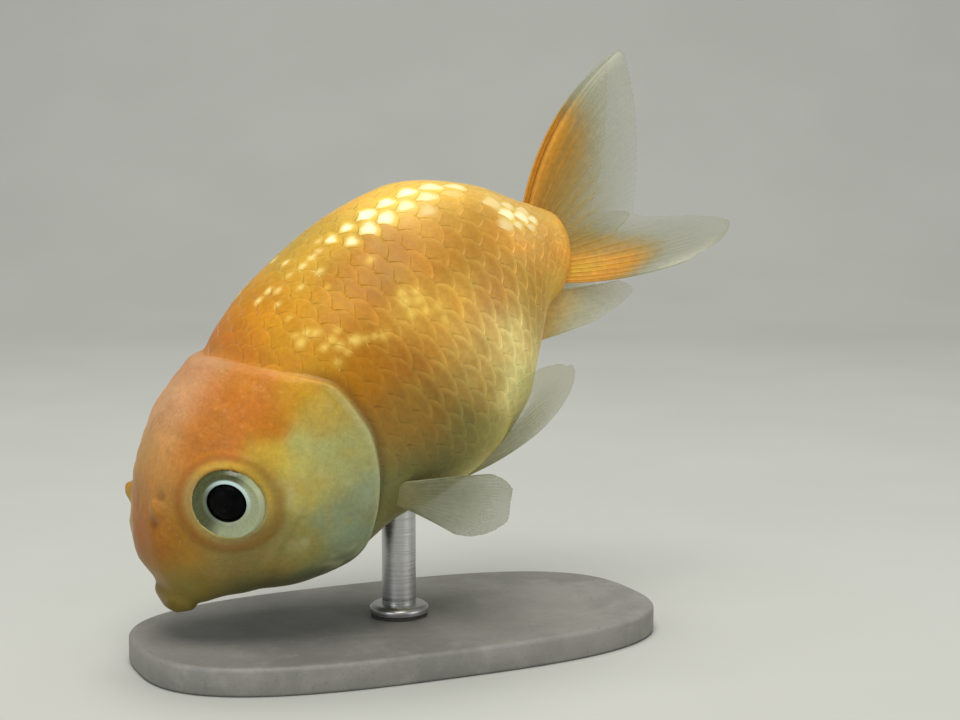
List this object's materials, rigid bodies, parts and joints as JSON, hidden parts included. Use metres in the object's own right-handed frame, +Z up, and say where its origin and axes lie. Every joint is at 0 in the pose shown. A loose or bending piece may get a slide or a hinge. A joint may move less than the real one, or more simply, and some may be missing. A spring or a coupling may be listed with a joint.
{
  "type": "young ranchu goldfish model on a display stand",
  "caption": "Young gold-orange ranchu goldfish, life size, round-backed with no dorsal fin and a double tail, nose down as when feeding, held by one rod over a plain oval base.",
  "frame": {"origin": "on the underside of the stand's base, in the fish's middle plane, 1 mm behind the rod's axis", "axes": "+X from the fish's head towards its tail, -Y towards its left side, +Z up; the part rests on z = 0"},
  "size_m": [0.0517, 0.0268, 0.0524],
  "materials": {
    "head_skin": "moist fine-grained skin, orange hood over olive-gold cheeks",
    "trunk_skin": "overlapping glossy scales, orange-gold back and flank, paler belly",
    "tail_fin": "thin rayed membrane, orange at the root, clear whitish at the tips",
    "pale_fin": "thin rayed membrane, translucent whitish",
    "eye": "clear domed surface over an olive iris with a black pupil",
    "stand_plate": "honed, matt",
    "stand_steel": "satin"
  },
  "bodies": {
    "root": {"head": "head_skin", "trunk": "trunk_skin", "tail_stalk": "trunk_skin", "tail_fin_left": "tail_fin", "tail_fin_right": "tail_fin", "anal_fin_left": "tail_fin", "anal_fin_right": "tail_fin", "pectoral_fin_left": "pale_fin", "pectoral_fin_right": "pale_fin", "pelvic_fin_left": "pale_fin", "pelvic_fin_right": "pale_fin", "eye_left": "eye", "eye_right": "eye", "stand_base": "stand_plate", "stand_rod": "stand_steel"}
  },
  "joints": []
}
